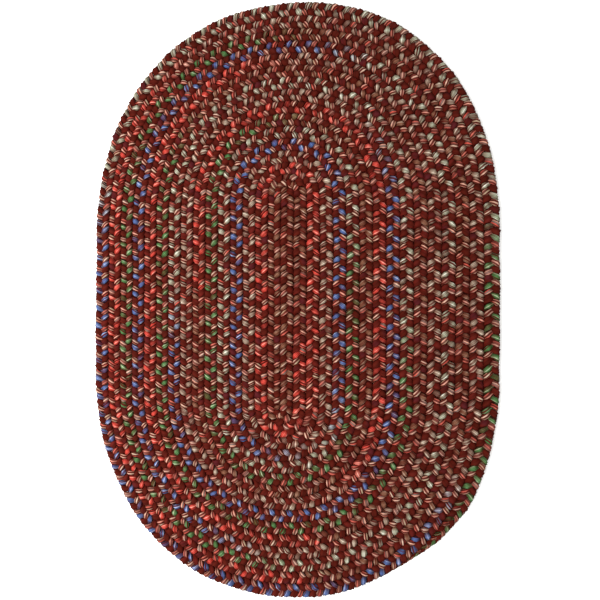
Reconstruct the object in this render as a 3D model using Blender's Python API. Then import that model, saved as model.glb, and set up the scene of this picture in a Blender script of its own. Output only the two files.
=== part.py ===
# Oval braided rug: one long three-strand braid wound clockwise into a flat spiral, each
# row sewn to the row inside it.  Every row stands up as a rounded rib on both faces.
# Metres, +Z up, long axis along Y, lying on Z = 0 with the origin under the middle.

import math

import bmesh
import bpy

# Driving dimensions
ROW_PITCH = 0.0196            # width of one braid row along the straight sides
THICKNESS = 0.010             # crown of a row on top to its crown underneath
GROOVE_DEPTH = 0.003          # sewn groove between two rows, on each face
CROWN_SHARE = 0.56            # flat part of a row's crown, as a share of its width
WHOLE_TURNS = 15              # the braid then runs down one more side and ends
HALF_RUN = 0.165              # half of the straight stretch at the spiral's heart
END_PINCH = 0.928             # rows lie this much closer round the two ends
BEND_LEAD = 0.215             # each row bends this share of a row sooner than the last
END_FULLNESS = 2.17           # 2 is a true ellipse, more fills out the shoulders
TAPER_START = math.radians(22.5)  # along the last bend, where the braid starts to thin
TAPER_END = math.radians(60)      # and where its tip is sewn away

# Stations along the seam of one turn
RUN_STEPS = 2                 # along each straight side
BEND_STEPS = 24               # round each end
TURN_STEPS = 2 * (RUN_STEPS + BEND_STEPS)

WELD_DISTANCE = 1e-6

BRAID_RED = (0.115, 0.012, 0.012, 1.0)
BRAID_ROUGHNESS = 0.95


def clear_scene():
    for scene_object in list(bpy.data.objects):
        bpy.data.objects.remove(scene_object, do_unlink=True)


def rounded(value):
    # A sine or cosine, filled out from the circle's towards the rug's fuller end.
    return math.copysign(abs(value) ** (2 / END_FULLNESS), value)


def run_end(reach):
    # Y where a straight side gives way to the bend, reach rows out from the heart.
    return HALF_RUN - BEND_LEAD * ROW_PITCH * reach


def bend_point(centre_x, end, reach, angle):
    # Point of the bend round the top (end = 1) or the bottom (end = -1) of the rug.
    across = ROW_PITCH * reach * rounded(math.cos(angle))
    along = ROW_PITCH * reach * (END_PINCH + BEND_LEAD) * rounded(math.sin(angle))
    return (centre_x + across, end * (run_end(reach) + along))


def run_point(x, start_y, end_y, step):
    return (x, start_y + (end_y - start_y) * step / RUN_STEPS)


def outer_seam(turn):
    # One turn of the seam outside the rows: down the right side, round the bottom,
    # up the left side and round the top.  Turn -1 is the heart, which has no width.
    reach = turn + 1
    side = reach * ROW_PITCH
    top_reach = turn + 1.5
    points = []
    for step in range(RUN_STEPS):
        start_y = run_end(abs(turn + 0.5))
        points.append(run_point(side, start_y, -run_end(reach), step))
    for step in range(BEND_STEPS):
        points.append(bend_point(0, -1, reach, math.pi * step / BEND_STEPS))
    for step in range(RUN_STEPS):
        points.append(run_point(-side, -run_end(reach), run_end(top_reach), step))
    for step in range(BEND_STEPS):
        angle = math.pi * (1 - step / BEND_STEPS)
        points.append(bend_point(ROW_PITCH / 2, 1, top_reach, angle))
    return points


def taper(last_turn_step):
    # Width of the braid as a share of a full row, thinning to nothing at its tip.
    angle = math.pi * (last_turn_step - RUN_STEPS) / BEND_STEPS
    gone = (angle - TAPER_START) / (TAPER_END - TAPER_START)
    gone = min(max(gone, 0), 1)
    return 1 - gone * gone * (3 - 2 * gone)


def between(start, end, share):
    return tuple(a + (b - a) * share for a, b in zip(start, end))


def row_section(inner, outer, width):
    # Corners across one row on each face, from its inner seam to its outer seam.
    outer = between(inner, outer, width)
    shoulder = (1 - CROWN_SHARE) / 2
    groove = GROOVE_DEPTH * width
    seam_height = THICKNESS - GROOVE_DEPTH
    top = []
    underside = []
    for share, rise in ((0, 0), (shoulder, groove), (1 - shoulder, groove), (1, 0)):
        x, y = between(inner, outer, share)
        top.append((x, y, seam_height + rise))
        underside.append((x, y, GROOVE_DEPTH - rise))
    return top, underside


def add_strip(mesh, first, second):
    # Faces between two neighbouring lines of corners.
    for corner in range(len(first) - 1):
        corners = (first[corner], first[corner + 1], second[corner + 1], second[corner])
        mesh.faces.new([mesh.verts.new(point) for point in corners])


def add_rows(mesh, seam):
    # The whole braid, station by station from its start to its tip.
    last_turn = WHOLE_TURNS * TURN_STEPS
    tip = last_turn + RUN_STEPS + round(BEND_STEPS * TAPER_END / math.pi)
    sections = []
    for station in range(tip + 1):
        width = taper(station - last_turn)
        sections.append(row_section(seam[station], seam[station + TURN_STEPS], width))
    for here, ahead in zip(sections, sections[1:]):
        add_strip(mesh, here[0], ahead[0])
        add_strip(mesh, here[1], ahead[1])
    for here, ahead in zip(sections[tip - TURN_STEPS:], sections[tip - TURN_STEPS + 1:]):
        add_strip(mesh, (here[0][-1], here[1][-1]), (ahead[0][-1], ahead[1][-1]))


def add_start(mesh, seam):
    # The braid's first end, rounded off inside the first bend.
    outline = seam[TURN_STEPS - BEND_STEPS:TURN_STEPS + 1]
    middle = between(outline[0], outline[-1], 0.5)
    crown = [between(middle, point, CROWN_SHARE) for point in outline]
    heights = ((THICKNESS, THICKNESS - GROOVE_DEPTH), (0, GROOVE_DEPTH))
    for crown_height, seam_height in heights:
        rim = [(*point, seam_height) for point in outline]
        inner_rim = [(*point, crown_height) for point in crown]
        add_strip(mesh, rim, inner_rim)
        mesh.faces.new([mesh.verts.new(point) for point in inner_rim])


def centre_on_origin(mesh):
    middle = []
    for axis in (0, 1):
        values = [vertex.co[axis] for vertex in mesh.verts]
        middle.append((min(values) + max(values)) / 2)
    bmesh.ops.translate(mesh, verts=mesh.verts, vec=(-middle[0], -middle[1], 0))


def braid_material():
    material = bpy.data.materials.new("Braided yarn")
    material.use_nodes = True
    shader = material.node_tree.nodes["Principled BSDF"]
    shader.inputs["Base Color"].default_value = BRAID_RED
    shader.inputs["Roughness"].default_value = BRAID_ROUGHNESS
    shader.inputs["Metallic"].default_value = 0.0
    return material


def build_rug():
    seam = []
    for turn in range(-1, WHOLE_TURNS + 1):
        seam.extend(outer_seam(turn))
    mesh = bmesh.new()
    add_rows(mesh, seam)
    add_start(mesh, seam)
    bmesh.ops.remove_doubles(mesh, verts=mesh.verts, dist=WELD_DISTANCE)
    bmesh.ops.recalc_face_normals(mesh, faces=mesh.faces)
    centre_on_origin(mesh)
    data = bpy.data.meshes.new("rug")
    mesh.to_mesh(data)
    mesh.free()
    data.materials.append(braid_material())
    return bpy.data.objects.new("rug", data)


def main():
    clear_scene()
    collection = bpy.data.collections.new("Braided rug")
    bpy.context.scene.collection.children.link(collection)
    collection.objects.link(build_rug())


main()
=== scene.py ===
import math

import bmesh
import bpy
import numpy as np
from mathutils import Euler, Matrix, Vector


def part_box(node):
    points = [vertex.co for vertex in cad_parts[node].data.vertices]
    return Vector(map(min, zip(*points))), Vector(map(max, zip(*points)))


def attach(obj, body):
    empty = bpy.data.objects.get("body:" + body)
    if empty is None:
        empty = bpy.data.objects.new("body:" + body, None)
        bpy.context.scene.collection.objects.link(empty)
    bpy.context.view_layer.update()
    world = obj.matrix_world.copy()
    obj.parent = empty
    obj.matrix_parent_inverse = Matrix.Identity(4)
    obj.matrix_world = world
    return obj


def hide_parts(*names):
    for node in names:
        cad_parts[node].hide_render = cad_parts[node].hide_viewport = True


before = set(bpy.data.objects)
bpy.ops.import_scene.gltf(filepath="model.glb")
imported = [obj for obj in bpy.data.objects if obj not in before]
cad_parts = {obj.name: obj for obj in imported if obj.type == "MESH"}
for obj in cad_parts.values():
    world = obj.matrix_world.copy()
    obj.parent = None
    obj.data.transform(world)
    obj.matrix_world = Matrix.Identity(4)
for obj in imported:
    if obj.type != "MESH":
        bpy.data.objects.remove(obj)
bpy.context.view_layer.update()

rugLow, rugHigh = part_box("rug")
print("frame loaded, rug", [round(side, 4) for side in rugHigh - rugLow])

mm = 0.001
scene = bpy.context.scene


def hexColour(code):
    # sRGB hex to the linear colour that shaders use
    channels = [int(code[i:i + 2], 16) / 255 for i in (1, 3, 5)]
    linear = [c / 12.92 if c <= 0.04045 else ((c + 0.055) / 1.055) ** 2.4 for c in channels]
    return (*linear, 1.0)


def addNode(tree, kind, settings=None, links=None):
    # one node, with its settings, fixed socket values and links from other nodes' outputs
    node = tree.nodes.new(kind)
    for name, value in (settings or {}).items():
        setattr(node, name, value)
    for socket, value in (links or {}).items():
        if isinstance(value, bpy.types.NodeSocket):
            tree.links.new(value, node.inputs[socket])
        else:
            node.inputs[socket].default_value = value
    return node


def setRamp(node, stops, interpolation="LINEAR"):
    ramp = node.color_ramp
    ramp.interpolation = interpolation
    while len(ramp.elements) > 1:
        ramp.elements.remove(ramp.elements[-1])
    ramp.elements[0].position = stops[0][0]
    ramp.elements[0].color = stops[0][1]
    for position, colour in stops[1:]:
        ramp.elements.new(position).color = colour


# the spiral that the braid is wound in
spiral = {
    "rowsAcross": 31,          # rows side by side across the middle
    "wholeTurns": 15,          # the braid then runs down one more side and ends
    "halfRun": 0.165,          # half of the straight stretch at the heart, m
    "endPinch": 0.928,         # rows lie this much closer round the two ends
    "bendLead": 0.215,         # each row bends this share of a row sooner than the last
    "endFullness": 2.17,       # 2 is a true ellipse
    "startReach": 0.7,         # the start reaches this share of a row into the first bend
    "taperStart": math.radians(22.5),   # where the outer end starts to thin
    "taperEnd": math.radians(60),       # and where its tip is sewn away
    "steps": 120,              # points along each side and round each end of a turn
    "startSteps": 12,          # and round the start
}
rowPitch = (rugHigh.x - rugLow.x) / spiral["rowsAcross"]
turnSteps = 4 * spiral["steps"]            # two sides and two ends


def eased(share):
    # from 0 to 1 with a slow start and a slow end
    return share * share * (3 - 2 * share)


def rounded(value):
    return np.sign(value) * np.abs(value) ** (2 / spiral["endFullness"])


def runEnd(reach):
    # Y where a straight side gives way to its bend
    return spiral["halfRun"] - spiral["bendLead"] * rowPitch * reach


def bend(centreX, end, reach, angles):
    across = centreX + rowPitch * reach * rounded(np.cos(angles))
    rise = rowPitch * reach * (spiral["endPinch"] + spiral["bendLead"])
    along = end * (runEnd(reach) + rise * rounded(np.sin(angles)))
    return np.stack([across, along], axis=1)


def outerSeam(turn):
    # down the right side, round the bottom, up the left side and round the top
    steps = spiral["steps"]
    reach = turn + 1
    side = reach * rowPitch
    topReach = turn + 1.5
    share = np.arange(steps)[:, None] / steps
    angles = math.pi * np.arange(steps) / steps
    downFrom = np.array([side, runEnd(abs(turn + 0.5))])
    downTo = np.array([side, -runEnd(reach)])
    upFrom = np.array([-side, -runEnd(reach)])
    upTo = np.array([-side, runEnd(topReach)])
    return np.concatenate([
        downFrom + (downTo - downFrom) * share,
        bend(0, -1, reach, angles),
        upFrom + (upTo - upFrom) * share,
        bend(rowPitch / 2, 1, topReach, math.pi - angles),
    ])


def rowEdges():
    # the inner and the outer seam of the row, from the braid's start to its tip
    steps = spiral["steps"]
    seams = [outerSeam(turn) for turn in range(-1, spiral["wholeTurns"] + 1)]
    seam = np.concatenate(seams)
    tipSteps = steps + round(steps * spiral["taperEnd"] / math.pi)
    count = spiral["wholeTurns"] * turnSteps + tipSteps + 1
    inner = seam[:count]
    outer = seam[turnSteps:turnSteps + count]
    bendSteps = np.arange(count) - spiral["wholeTurns"] * turnSteps - steps
    angle = math.pi * bendSteps / steps
    gone = (angle - spiral["taperStart"]) / (spiral["taperEnd"] - spiral["taperStart"])
    width = 1 - eased(np.clip(gone, 0, 1))
    outer = inner + (outer - inner) * width[:, None]
    # the start is rounded off inside the first bend
    capAngles = np.linspace(math.pi / 2, 0, spiral["startSteps"], endpoint=False)
    middle = (inner[0] + outer[0]) / 2
    half = (outer[0] - inner[0]) / 2
    ahead = np.array([0, rowPitch * spiral["startReach"]])
    capMiddle = middle + ahead * np.sin(capAngles)[:, None]
    capHalf = half * np.sqrt(np.cos(capAngles))[:, None]
    inner = np.concatenate([capMiddle - capHalf, inner])
    outer = np.concatenate([capMiddle + capHalf, outer])
    return inner, outer


inner, outer = rowEdges()
allPoints = np.concatenate([inner, outer])
shift = (allPoints.max(0) + allPoints.min(0)) / 2
inner = inner - shift
outer = outer - shift
middle = (inner + outer) / 2
stepLengths = np.linalg.norm(np.diff(middle, axis=0), axis=1)
travelled = np.concatenate([[0], np.cumsum(stepLengths)])
braidLength = travelled[-1]
rimPlace = travelled[-turnSteps]           # the last turn's outer side is the rug's rim
print("braid length", round(braidLength, 2), "m, row pitch", round(rowPitch, 5))


# the braid: three strands plaited flat
braid = {
    "period": 28.2 * mm,       # braid taken up by one strand's whole weave
    "periodDrift": 0.05,       # how far that strays, as a share of it
    "driftLength": 0.11,       # and the length of braid in which it does, m
    "swing": 0.92,             # a strand's way out from the middle, as a share of half a row
    "straightness": 0.4,       # how far it goes there straight, and not in a round wave
    "rise": 2.6 * mm,          # and up and down from the middle
    "spineLean": 0.25,         # how much nearer the spine than the edge its lobes crest
    "halfThickness": 3.0 * mm,     # half of a strand's thickness at the top of a lobe
    "spineThin": 0.45,         # how much thinner a strand is where it crosses the spine
    "spinePinch": 0.16,        # and how much narrower
    "edgePinch": 0.43,         # how much narrower it is where it turns at the edge
    "edgeThin": 0.20,          # and how much thinner
    "rollSharpness": 2.2,      # how quickly a strand turns over at the edge
    "ringsPerPeriod": 14,
    "endRings": 8,             # rings in which a strand closes at each end
    "plyRidge": 0.08,          # how far the plies stand out, as a share of the strand
    "plyTwistLength": 0.11,    # braid length in which the plies turn once
    "twistStray": 1.5,         # how far that turn runs early or late, in radians
    "twistStrayLength": 0.05,  # m
    "wander": 0.5 * mm,        # how far hand tension lets a strand stray
    "wanderLength": 8 * mm,
    "unevenness": 0.16,        # how far a lobe's width strays, as a share of it
    "unevenLength": 9.4 * mm,
    "phaseStray": 0.18,        # and how far the weave runs early or late, in radians
    "phaseStrayLength": 12 * mm,
    "paintedShadeHeights": (2.5 * mm, 5.4 * mm),   # above or below the middle: where the painted shade is full, and where it has faded out
    "rimPaintedLightLevel": 0.45,       # least painted light level on the rim's outer side: no neighbour shades it, but it stands near the floor, so some painted shade stays
}
# how its rows lie in the rug
rug = {
    "area": 0.463,             # of the oval, m2
    "waves": 6,                # slow bends that the rows share with their neighbours
    "waveLengths": (0.06, 0.16),   # m
    "waveHeight": 0.5 * mm,
    "heartOffset": 3.5 * mm,   # the heart lies a little to the right
    "mostSpread": 0.5,         # how much wider lobes may be on the outside of a tight bend
    "rimSwell": 1.2 * mm,      # the rim's free edge stands out past the stitched width
    "rimLead": 0.1,            # m of braid in which it comes to do so
    "rimSmooth": 0.55,         # power that draws its loops out into an even edge
}
rng = np.random.default_rng(7)


def smoothNoise(positions, wavelength):
    # even, slow noise between -1 and 1 along the braid
    knots = np.arange(0, braidLength + 3 * wavelength, wavelength)
    values = rng.uniform(-1, 1, len(knots))
    lower = np.clip((positions / wavelength).astype(int), 0, len(knots) - 2)
    share = eased(positions / wavelength - lower)
    return values[lower] + (values[lower + 1] - values[lower]) * share


def ringPositions():
    # places of the rings along the braid, evenly spaced in phase
    grid = np.arange(0, braidLength, mm)
    drift = braid["periodDrift"] * smoothNoise(grid, braid["driftLength"])
    period = braid["period"] * (1 + drift)
    phase = np.concatenate([[0], np.cumsum(mm / period[:-1])])
    rings = int(phase[-1] * braid["ringsPerPeriod"])
    wanted = np.arange(rings) / braid["ringsPerPeriod"]
    return np.interp(wanted, phase, grid), wanted * 2 * math.pi


ringPlaces, ringPhases = ringPositions()
ringCount = len(ringPlaces)
print("rings", ringCount)


def along(values):
    return np.stack([np.interp(ringPlaces, travelled, values[:, i]) for i in range(2)], axis=1)


ringMiddle = along(middle)
outness = (ringMiddle ** 2 / np.array([rugHigh.x, rugHigh.y]) ** 2).sum(1)
ringMiddle[:, 0] += rug["heartOffset"] * np.clip(1 - outness, 0, 1)
for wave in range(rug["waves"]):
    # the rows wander a little, all of a neighbourhood together
    direction = rng.uniform(0, 2 * math.pi)
    facing = np.array([math.cos(direction), math.sin(direction)])
    length = rng.uniform(*rug["waveLengths"])
    swell = np.sin(2 * math.pi * (ringMiddle @ facing) / length + rng.uniform(0, 2 * math.pi))
    push = rng.uniform(-1, 1, 2) * rug["waveHeight"]
    ringMiddle = ringMiddle + swell[:, None] * push
ringAcross = along((outer - inner) / 2)
ringHalf = np.linalg.norm(ringAcross, axis=1)
fullHalf = rowPitch / 2
ringShare = np.clip(ringHalf / (fullHalf * spiral["endPinch"]), 0, 1)


def unit(vectors):
    return vectors / np.maximum(np.linalg.norm(vectors, axis=1), 1e-9)[:, None]


# the rim's loops swell outwards
rimStart = np.searchsorted(ringPlaces, rimPlace)
onRim = np.clip((ringPlaces - rimPlace) / rug["rimLead"], 0, 1)
outward = unit(ringAcross)
swelled = outward * (rug["rimSwell"] / 2 * onRim * ringShare)[:, None]
ringMiddle = ringMiddle + swelled
ringAcross = ringAcross + swelled

# round a tight bend the lobes on the outside lie further apart, and spread to fill it
outsideSteps = np.linalg.norm(np.gradient(ringMiddle + ringAcross, axis=0), axis=1)
middleSteps = np.linalg.norm(np.gradient(ringMiddle, axis=0), axis=1)
spread = np.clip(outsideSteps / middleSteps - 1, 0, rug["mostSpread"])
spread[rimStart:] = 0


def strandPath(phase):
    # the middle of one strand, ring by ring, and the way that its flat side faces
    stray = braid["wander"] / fullHalf * smoothNoise(ringPlaces, braid["wanderLength"])
    stray = stray * np.abs(np.cos(phase))
    swing = np.sin(phase)
    straight = np.arcsin(swing) / (math.pi / 2)
    swing = swing + (straight - swing) * braid["straightness"]
    power = 1 + (rug["rimSmooth"] - 1) * onRim * (swing > 0)
    swing = braid["swing"] * np.sign(swing) * np.abs(swing) ** power + stray
    lift = np.sin(2 * phase) + braid["spineLean"] * np.sin(4 * phase)
    heights = rugHigh.z / 2 + braid["rise"] * lift * ringShare
    flat = ringMiddle + ringAcross * swing[:, None]
    points = np.concatenate([flat, heights[:, None]], axis=1)
    sharpness = braid["rollSharpness"]
    roll = math.pi / 2 * (1 - np.tanh(sharpness * np.cos(phase)) / math.tanh(sharpness))
    facing = np.concatenate([outward * np.sin(roll)[:, None], np.cos(roll)[:, None]], axis=1)
    return points, facing


def rollTube(name, sides, rings, points, facing, halfWidth, halfThickness, twist):
    # a flat grid rolled into a tube along the strand, its columns on the plies' crests
    # and in the grooves between them
    first, last = rings
    bm = bmesh.new()
    bm.loops.layers.uv.new("strand")
    bmesh.ops.create_grid(bm, x_segments=last - first, y_segments=sides, size=1, calc_uvs=True)
    data = bpy.data.meshes.new(name)
    bm.to_mesh(data)
    bm.free()
    flat = np.empty(len(data.vertices) * 3, np.float32)
    data.vertices.foreach_get("co", flat)
    flat = flat.reshape(-1, 3)
    ring = first + np.rint((flat[:, 0] + 1) / 2 * (last - first)).astype(int)
    column = np.rint((flat[:, 1] + 1) / 2 * sides).astype(int) % sides
    ahead = unit(np.gradient(points, axis=0))
    facing = unit(facing - ahead * (facing * ahead).sum(1)[:, None])
    sideways = np.cross(ahead, facing)
    angle = 2 * math.pi * column / sides + twist[ring]
    ridge = 1 + braid["plyRidge"] * np.where(column % 2 == 0, 1, -1)
    width = (halfWidth[ring] * ridge * np.cos(angle))[:, None]
    thickness = (halfThickness[ring] * ridge * np.sin(angle))[:, None]
    placed = points[ring] + sideways[ring] * width + facing[ring] * thickness
    placed[:, 2] = np.maximum(placed[:, 2], 0)     # flattened where it rests on the floor
    data.vertices.foreach_set("co", placed.astype(np.float32).ravel())
    # painted shade: yarn that lies low between its neighbours is darkened in its colour, less so
    # on the rim's outer side
    fullShadeHeight, noShadeHeight = braid["paintedShadeHeights"]
    paintedLightLevel = (np.abs(placed[:, 2] - rugHigh.z / 2) - fullShadeHeight) / (noShadeHeight - fullShadeHeight)
    outside = ((placed[:, :2] - ringMiddle[ring]) * ringAcross[ring]).sum(1) > 0
    least = np.where(outside & (ring >= rimStart), braid["rimPaintedLightLevel"], 0)
    paintedLightLevel = eased(np.clip(paintedLightLevel, least, 1))
    attribute = data.attributes.new("paintedLightLevel", "FLOAT", "POINT")
    attribute.data.foreach_set("value", paintedLightLevel.astype(np.float32))
    stretch = np.empty(len(data.loops) * 2, np.float32)
    uvs = data.uv_layers["strand"].uv
    uvs.foreach_get("vector", stretch)
    stretch = stretch.reshape(-1, 2)
    stretch[:, 0] = (first + stretch[:, 0] * (last - first)) / ringCount
    uvs.foreach_set("vector", stretch.ravel())
    bm = bmesh.new()
    bm.from_mesh(data)
    bmesh.ops.remove_doubles(bm, verts=bm.verts, dist=0.001 * mm)
    bmesh.ops.holes_fill(bm, edges=bm.edges, sides=0)
    bmesh.ops.recalc_face_normals(bm, faces=bm.faces)
    if bm.calc_volume(signed=True) < 0:
        bmesh.ops.reverse_faces(bm, faces=bm.faces)
    for face in bm.faces:
        face.smooth = True
    bm.to_mesh(data)
    bm.free()
    piece = bpy.data.objects.new(name, data)
    scene.collection.objects.link(piece)
    return piece


def makeStrand(name, settings):
    # one strand, in one or more lengths that meet end to end
    stray = braid["phaseStray"] * smoothNoise(ringPlaces, braid["phaseStrayLength"])
    phase = ringPhases + settings["phase"] + stray
    points, facing = strandPath(phase)
    atSpine = np.maximum(np.cos(2 * phase), 0)
    atEdge = np.maximum(-np.cos(2 * phase), 0)
    loose = 1 + braid["unevenness"] * smoothNoise(ringPlaces, braid["unevenLength"])
    ends = np.ones(ringCount)
    fade = braid["endRings"]
    ends[:fade] = np.sqrt(1 - (1 - np.arange(fade) / fade) ** 2)
    ends[-fade:] = ends[:fade][::-1]
    narrow = 1 - braid["spinePinch"] * atSpine - braid["edgePinch"] * atEdge
    fullness = np.sqrt(ringShare) * ends     # the strands stay plump where the braid tapers
    fanned = 1 + spread * np.maximum(np.sin(phase), 0)
    halfWidth = settings["halfWidth"] * narrow * loose * fanned * fullness
    thin = 1 - braid["spineThin"] * atSpine - braid["edgeThin"] * atEdge
    halfThickness = braid["halfThickness"] * thin * fullness
    turns = ringPlaces / braid["plyTwistLength"]
    twistStray = braid["twistStray"] * smoothNoise(ringPlaces, braid["twistStrayLength"])
    twist = 2 * math.pi * turns + twistStray
    lengths = settings["lengths"]
    cuts = [round((ringCount - 1) * cut / lengths) for cut in range(lengths + 1)]
    pieces = []
    for number, rings in enumerate(zip(cuts, cuts[1:]), start=1):
        pieceName = name if lengths == 1 else f"{name}_{number}"
        pieces.append(rollTube(pieceName, 2 * settings["plies"], rings, points, facing,
                               halfWidth, halfThickness, twist))
    return pieces


# what the three yarns share
wool = {
    "roughness": 0.95,
    "specular": 0.05,
    "fuzzSpacing": 1.2 * mm,
    "fuzzDepth": 0.4 * mm,
    "fuzzStrength": 0.35,
    "plyApart": 7.3,           # how far apart in the noise two plies are read
    "grooveSide": 0.2,         # where a ply starts to darken: 0 is its crest, 0.5 the groove
}


# settings of the nodes that mix, darken and ease; a Mix node's colours are its inputs 6 and 7
# and its output 2
mixing = {"data_type": "RGBA"}
darkening = {"data_type": "RGBA", "blend_type": "MULTIPLY"}
easing = {"interpolation_type": "SMOOTHSTEP"}


def strandCoordinates(tree, plies):
    # metres of braid along the strand, the number of the ply, and the place across it,
    # which is 0.5 on its crest
    uv = addNode(tree, "ShaderNodeUVMap", {"uv_map": "strand"})
    parts = addNode(tree, "ShaderNodeSeparateXYZ", links={"Vector": uv.outputs["UV"]})
    metres = addNode(tree, "ShaderNodeMath", {"operation": "MULTIPLY"},
                     {0: parts.outputs["X"], 1: braidLength})
    lanes = addNode(tree, "ShaderNodeMath", {"operation": "MULTIPLY_ADD"},
                    {0: parts.outputs["Y"], 1: float(plies), 2: 0.5})
    laneNumber = addNode(tree, "ShaderNodeMath", {"operation": "FLOOR"}, {0: lanes.outputs[0]})
    ply = addNode(tree, "ShaderNodeMath", {"operation": "MODULO"},
                  {0: laneNumber.outputs[0], 1: float(plies)})
    acrossPly = addNode(tree, "ShaderNodeMath", {"operation": "FRACT"}, {0: lanes.outputs[0]})
    return metres.outputs[0], ply.outputs[0], acrossPly.outputs[0]


def newMaterial(name):
    material = bpy.data.materials.new(name)
    material.use_nodes = True
    return material, material.node_tree.nodes["Principled BSDF"]


def plyNoise(tree, metres, ply, length, seed, detail=1.0):
    # noise that runs along each ply and differs from ply to ply
    scaled = addNode(tree, "ShaderNodeMath", {"operation": "DIVIDE"}, {0: metres, 1: length})
    lane = addNode(tree, "ShaderNodeMath", {"operation": "MULTIPLY_ADD"},
                   {0: ply, 1: wool["plyApart"], 2: seed})
    place = addNode(tree, "ShaderNodeCombineXYZ",
                    links={"X": scaled.outputs[0], "Y": lane.outputs[0], "Z": seed})
    noise = addNode(tree, "ShaderNodeTexNoise", {"noise_dimensions": "3D"},
                    {"Vector": place.outputs[0], "Scale": 1.0, "Detail": detail})
    return noise.outputs["Fac"]


def lobeNoise(tree, metres, seed, limits, most=1.0):
    # 0 to most, much the same all over a lobe and different on the next
    noise = plyNoise(tree, metres, 0.0, braid["period"] / 2, seed, detail=0.0)
    level = addNode(tree, "ShaderNodeMapRange", easing,
                    {"Value": noise, "From Min": limits[0], "From Max": limits[1], "To Max": most})
    return level.outputs[0]


def plyRamp(tree, ply, codes):
    # each ply its own colour
    plies = len(codes)
    share = addNode(tree, "ShaderNodeMath", {"operation": "MULTIPLY_ADD"},
                    {0: ply, 1: 1 / plies, 2: 0.5 / plies})
    ramp = addNode(tree, "ShaderNodeValToRGB", links={"Fac": share.outputs[0]})
    stops = [(number / plies, hexColour(code)) for number, code in enumerate(codes)]
    setRamp(ramp, stops, "CONSTANT")
    return ramp.outputs["Color"]


def grooveShade(tree, colour, acrossPly, depth):
    # darker in the grooves between plies
    centred = addNode(tree, "ShaderNodeMath", {"operation": "SUBTRACT"}, {0: acrossPly, 1: 0.5})
    distance = addNode(tree, "ShaderNodeMath", {"operation": "ABSOLUTE"}, {0: centred.outputs[0]})
    shade = addNode(tree, "ShaderNodeMapRange", easing,
                    {"Value": distance.outputs[0], "From Min": wool["grooveSide"], "From Max": 0.5,
                     "To Min": 1.0, "To Max": 1.0 - depth})
    shaded = addNode(tree, "ShaderNodeMix", darkening,
                     {"Factor": 1.0, 6: colour, 7: shade.outputs[0]})
    return shaded.outputs[2]


def finishYarn(tree, shader, colour, paintedShadeTint):
    # matt wool with soft fibres, drawn about 1 mm apart because finer ones wouldn't show;
    # yarn that lies low between its neighbours gets painted shade, a warm tint multiplied into its
    # colour by the painted light level
    paintedLightLevel = addNode(tree, "ShaderNodeAttribute", {"attribute_name": "paintedLightLevel"})
    # painted shade: the tint is mixed in where the painted light level is low, then multiplied
    # into the colour
    shade = addNode(tree, "ShaderNodeMix", mixing, {
        "Factor": paintedLightLevel.outputs["Fac"], 6: hexColour(paintedShadeTint), 7: hexColour("#FFFFFF")})
    shaded = addNode(tree, "ShaderNodeMix", darkening,
                     {"Factor": 1.0, 6: colour, 7: shade.outputs[2]})
    tree.links.new(shaded.outputs[2], shader.inputs["Base Color"])
    shader.inputs["Roughness"].default_value = wool["roughness"]
    shader.inputs["Specular IOR Level"].default_value = wool["specular"]
    place = addNode(tree, "ShaderNodeTexCoord")
    noise = addNode(tree, "ShaderNodeTexNoise", links={
        "Vector": place.outputs["Object"], "Scale": 1 / wool["fuzzSpacing"], "Detail": 2.0})
    bump = addNode(tree, "ShaderNodeBump", links={
        "Strength": wool["fuzzStrength"], "Distance": wool["fuzzDepth"],
        "Height": noise.outputs["Fac"]})
    tree.links.new(bump.outputs["Normal"], shader.inputs["Normal"])


burgundy = {
    "phase": math.radians(238),
    "halfWidth": 5.6 * mm,
    "plies": 4,
    "lengths": 1,
    "toneLength": 30 * mm,     # of braid, in which a ply changes its tone
    "groove": 0.25,            # how much darker the grooves between plies are
    "colours": [(0.30, "#380E06"), (0.45, "#3E1008"), (0.55, "#43120A"), (0.70, "#4C1510")],
    "plum": "#401417",         # a few lobes are plummer
    "plumLimits": (0.55, 0.75),    # of the noise: none, all
    # the tint that painted shade multiplies in, low between neighbours
    "paintedShadeTint": "#F0BCA0",
}


def burgundyYarn():
    # dyed wool blend, roved and plied: matt and deep, a little redder or browner by the ply
    material, shader = newMaterial("Plied wool burgundy")
    tree = material.node_tree
    metres, ply, acrossPly = strandCoordinates(tree, burgundy["plies"])
    tone = plyNoise(tree, metres, ply, burgundy["toneLength"], seed=1.7)
    ramp = addNode(tree, "ShaderNodeValToRGB", links={"Fac": tone})
    setRamp(ramp, [(place, hexColour(code)) for place, code in burgundy["colours"]])
    plumLobes = lobeNoise(tree, metres, seed=12.9, limits=burgundy["plumLimits"])
    colour = addNode(tree, "ShaderNodeMix", mixing, {
        "Factor": plumLobes, 6: ramp.outputs["Color"], 7: hexColour(burgundy["plum"])})
    shaded = grooveShade(tree, colour.outputs[2], acrossPly, burgundy["groove"])
    finishYarn(tree, shader, shaded, burgundy["paintedShadeTint"])
    return material


tweed = {
    "phase": 0,
    "halfWidth": 4.2 * mm,
    "plies": 10,
    "lengths": 3,
    "toneLength": 20 * mm,     # of braid, in which a ply gives way to its other colour
    "toneLimits": (0.42, 0.58),    # of the noise: its own colour, its other one
    "groove": 0.55,
    "plyColours": ["#B89480", "#4C1610", "#A8584A", "#4C2A22", "#A4806E",
                   "#4A1610", "#BA8874", "#5E3A32", "#A44E42", "#481410"],
    "otherPlyColours": ["#B47868", "#54201A", "#AC9480", "#501A14", "#A8483C",
                        "#6A5A54", "#B29684", "#481410", "#948068", "#5A2018"],
    "dustyRose": "#7E4C44",    # what the plies blend to where they are spun together
    "dustyLimits": (0.45, 0.65),
    "dustyShare": 0.4,
    "deepRose": "#561C16",     # and where the dark ones come out on top
    "deepLimits": (0.50, 0.75),
    "deepShare": 0.7,
    # the tint that painted shade multiplies in, low between neighbours
    "paintedShadeTint": "#A87464",
}


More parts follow.
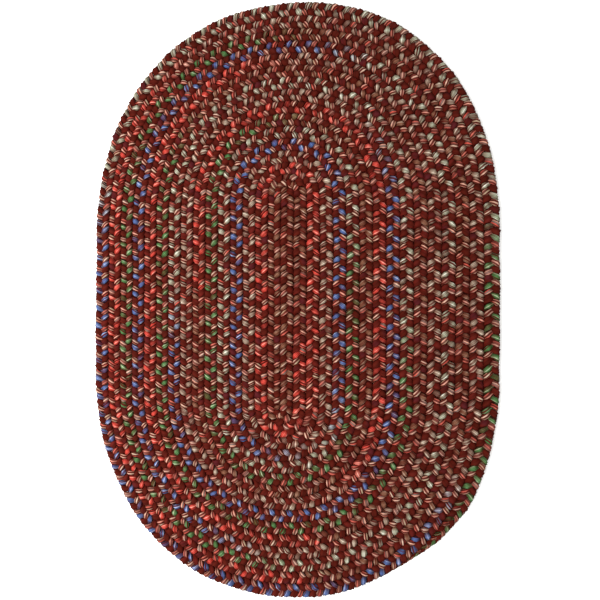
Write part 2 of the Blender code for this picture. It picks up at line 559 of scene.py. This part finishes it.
def tweedYarn():
    # plies of unlike colours laid side by side, so thin light lines run along each lobe
    material, shader = newMaterial("Plied wool tweed")
    tree = material.node_tree
    metres, ply, acrossPly = strandCoordinates(tree, tweed["plies"])
    tone = plyNoise(tree, metres, ply, tweed["toneLength"], seed=4.1)
    low, high = tweed["toneLimits"]
    turned = addNode(tree, "ShaderNodeMapRange", easing,
                     {"Value": tone, "From Min": low, "From Max": high})
    plied = addNode(tree, "ShaderNodeMix", mixing, {
        "Factor": turned.outputs[0],
        6: plyRamp(tree, ply, tweed["plyColours"]),
        7: plyRamp(tree, ply, tweed["otherPlyColours"])})
    dusty = lobeNoise(tree, metres, seed=6.3, limits=tweed["dustyLimits"],
                      most=tweed["dustyShare"])
    dusted = addNode(tree, "ShaderNodeMix", mixing, {
        "Factor": dusty, 6: plied.outputs[2], 7: hexColour(tweed["dustyRose"])})
    deep = lobeNoise(tree, metres, seed=15.1, limits=tweed["deepLimits"],
                     most=tweed["deepShare"])
    colour = addNode(tree, "ShaderNodeMix", mixing, {
        "Factor": deep, 6: dusted.outputs[2], 7: hexColour(tweed["deepRose"])})
    shaded = grooveShade(tree, colour.outputs[2], acrossPly, tweed["groove"])
    finishYarn(tree, shader, shaded, tweed["paintedShadeTint"])
    return material


# the accent yarn is dyed in stretches of about a metre, over and over in the same order
accent = {
    "phase": math.radians(114),
    "halfWidth": 4.2 * mm,
    "plies": 6,
    "lengths": 2,
    "toneLength": 25 * mm,
    "toneLimits": (0.35, 0.65),
    "toneShare": 0.4,          # how much of that noise is mixed into the plies' own tones
    "paleLimits": (0.4, 0.9),  # tones that lead from the main colour to the paler one
    "deepLimits": (0.05, 0.35),    # and from the deep colour to the dye
    "groove": 0.65,
    "dyes": [
        # length of braid in m, main colour, colour of its paler plies
        (1.00, "#B03E34", "#D47E70"),      # red
        (1.07, "#887868", "#B4A896"),      # beige
        (1.03, "#445886", "#8C98B6"),      # blue
        (0.95, "#8A8C78", "#C2C4B4"),      # grey
        (1.08, "#42683C", "#8A9C7A"),      # green
        (1.07, "#6E4A38", "#9A8270"),      # tan
    ],
    "dyeStart": 0.96,          # the first red starts this far along the braid, m
    "dyeBlend": 0.05,          # half of the stretch in which two dyes run together, m
    # two to each ply, its crest and its side; the sides are mostly darker, painted shade beside
    # the grooves as well as uneven dye: black shows the deep, hardly dyed colour, white is the
    # palest
    "plyTones": ["#A0A0A0", "#707070", "#FFFFFF", "#808080", "#909090", "#202020",
                 "#C0C0C0", "#909090", "#707070", "#E0E0E0", "#B0B0B0", "#303030"],
    "deepColour": "#4A130D",   # plies that took hardly any dye over the burgundy
    "missedLimits": (0.50, 0.75),  # lobes that the dye missed
    "missedShare": 0.65,
    # the tint that painted shade multiplies in, low between neighbours
    "paintedShadeTint": "#A87464",
}
dyeRepeat = sum(dye[0] for dye in accent["dyes"])


def dyeRamp(tree, where, column):
    stops = []
    place = 0
    for dye in accent["dyes"]:
        colour = hexColour(dye[column])
        stops.append(((place + accent["dyeBlend"]) / dyeRepeat, colour))
        place += dye[0]
        stops.append(((place - accent["dyeBlend"]) / dyeRepeat, colour))
    ramp = addNode(tree, "ShaderNodeValToRGB", links={"Fac": where})
    setRamp(ramp, stops)
    return ramp.outputs["Color"]


def spaceDyedYarn():
    # one yarn dipped in six dyes in turn; its plies took the dye unevenly, and the sides of each
    # ply carry some painted shade
    material, shader = newMaterial("Space dyed wool")
    tree = material.node_tree
    metres, ply, acrossPly = strandCoordinates(tree, len(accent["plyTones"]))
    turns = addNode(tree, "ShaderNodeMath", {"operation": "MULTIPLY_ADD"},
                    {0: metres, 1: 1 / dyeRepeat, 2: 1 - accent["dyeStart"] / dyeRepeat})
    where = addNode(tree, "ShaderNodeMath", {"operation": "FRACT"}, {0: turns.outputs[0]})
    main = dyeRamp(tree, where.outputs[0], 1)
    pale = dyeRamp(tree, where.outputs[0], 2)
    tone = plyNoise(tree, metres, ply, accent["toneLength"], seed=8.9)
    low, high = accent["toneLimits"]
    streak = addNode(tree, "ShaderNodeMapRange", easing,
                     {"Value": tone, "From Min": low, "From Max": high})
    # painted shade: the side lanes of each ply are mostly darker than its crest, mixed with the
    # uneven dye
    dyeAndSideShade = addNode(tree, "ShaderNodeMix", mixing, {
        "Factor": accent["toneShare"],
        6: plyRamp(tree, ply, accent["plyTones"]),
        7: streak.outputs[0]})
    low, high = accent["paleLimits"]
    paleness = addNode(tree, "ShaderNodeMapRange", easing,
                       {"Value": dyeAndSideShade.outputs[2], "From Min": low, "From Max": high})
    dyed = addNode(tree, "ShaderNodeMix", mixing,
                   {"Factor": paleness.outputs[0], 6: main, 7: pale})
    low, high = accent["deepLimits"]
    depth = addNode(tree, "ShaderNodeMapRange", easing,
                    {"Value": dyeAndSideShade.outputs[2], "From Min": low, "From Max": high})
    deep = hexColour(accent["deepColour"])
    covered = addNode(tree, "ShaderNodeMix", mixing,
                      {"Factor": depth.outputs[0], 6: deep, 7: dyed.outputs[2]})
    missed = lobeNoise(tree, metres, seed=20.7, limits=accent["missedLimits"],
                       most=accent["missedShare"])
    colour = addNode(tree, "ShaderNodeMix", mixing,
                     {"Factor": missed, 6: covered.outputs[2], 7: deep})
    shaded = grooveShade(tree, colour.outputs[2], acrossPly, accent["groove"])
    finishYarn(tree, shader, shaded, accent["paintedShadeTint"])
    return material


strands = {}
for name, settings, makeYarn in (("strand_tweed", tweed, tweedYarn),
                                 ("strand_accent", accent, spaceDyedYarn),
                                 ("strand_burgundy", burgundy, burgundyYarn)):
    yarn = makeYarn()
    for strand in makeStrand(name, settings):
        strand.data.materials.append(yarn)
        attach(strand, "root")
        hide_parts("rug")
        strands[strand.name] = strand
        print(strand.name, len(strand.data.polygons) * 2, "triangles")

sheetStrand = strands.pop("strand_burgundy")


floor = {"side": 8.0, "drop": 0.3 * mm, "colour": "#F4F4F2", "roughness": 0.9}


def makeFloor():
    bm = bmesh.new()
    bmesh.ops.create_grid(bm, x_segments=1, y_segments=1, size=floor["side"] / 2)
    bmesh.ops.translate(bm, verts=bm.verts, vec=(0, 0, -floor["drop"]))
    data = bpy.data.meshes.new("floor")
    bm.to_mesh(data)
    bm.free()
    piece = bpy.data.objects.new("floor", data)
    scene.collection.objects.link(piece)
    # seamless paper, rolled smooth: matt and even, so it shows as plain pale ground
    material, shader = newMaterial("Studio floor paper")
    shader.inputs["Base Color"].default_value = hexColour(floor["colour"])
    shader.inputs["Roughness"].default_value = floor["roughness"]
    data.materials.append(material)


lighting = {
    "place": (-0.70, -0.15, 0.85),     # over the left side, so the right one is a little darker
    "power": 24,               # W
    "size": 0.9,               # m
    "surroundColour": "#FFFFFF",   # white all round
    "surround": 1.26,          # and its strength
}


def makeLights():
    data = bpy.data.lights.new("leftSoftbox", "AREA")
    data.energy = lighting["power"]
    data.size = lighting["size"]
    lamp = bpy.data.objects.new("leftSoftbox", data)
    lamp.location = lighting["place"]
    lamp.rotation_euler = (-lamp.location).to_track_quat("-Z", "Y").to_euler()
    scene.collection.objects.link(lamp)
    world = bpy.data.worlds.new("studio")
    world.use_nodes = True
    background = world.node_tree.nodes["Background"]
    background.inputs["Color"].default_value = hexColour(lighting["surroundColour"])
    background.inputs["Strength"].default_value = lighting["surround"]
    scene.world = world


view = {
    "place": (0.1247, -0.0030, 0.6945),
    "turn": (0.224, 8.423, 0.228),     # degrees
    "lens": 28,                # mm
    "sensor": 36,              # mm
    "near": 0.01,              # m
}


def makeCamera():
    data = bpy.data.cameras.new("camera")
    data.lens = view["lens"]
    data.sensor_width = view["sensor"]
    data.clip_start = view["near"]
    camera = bpy.data.objects.new("camera", data)
    camera.location = view["place"]
    camera.rotation_euler = Euler([math.radians(angle) for angle in view["turn"]])
    scene.collection.objects.link(camera)
    scene.camera = camera


makeFloor()
makeLights()
makeCamera()
scene.view_settings.view_transform = "Standard"
print("stage ready")
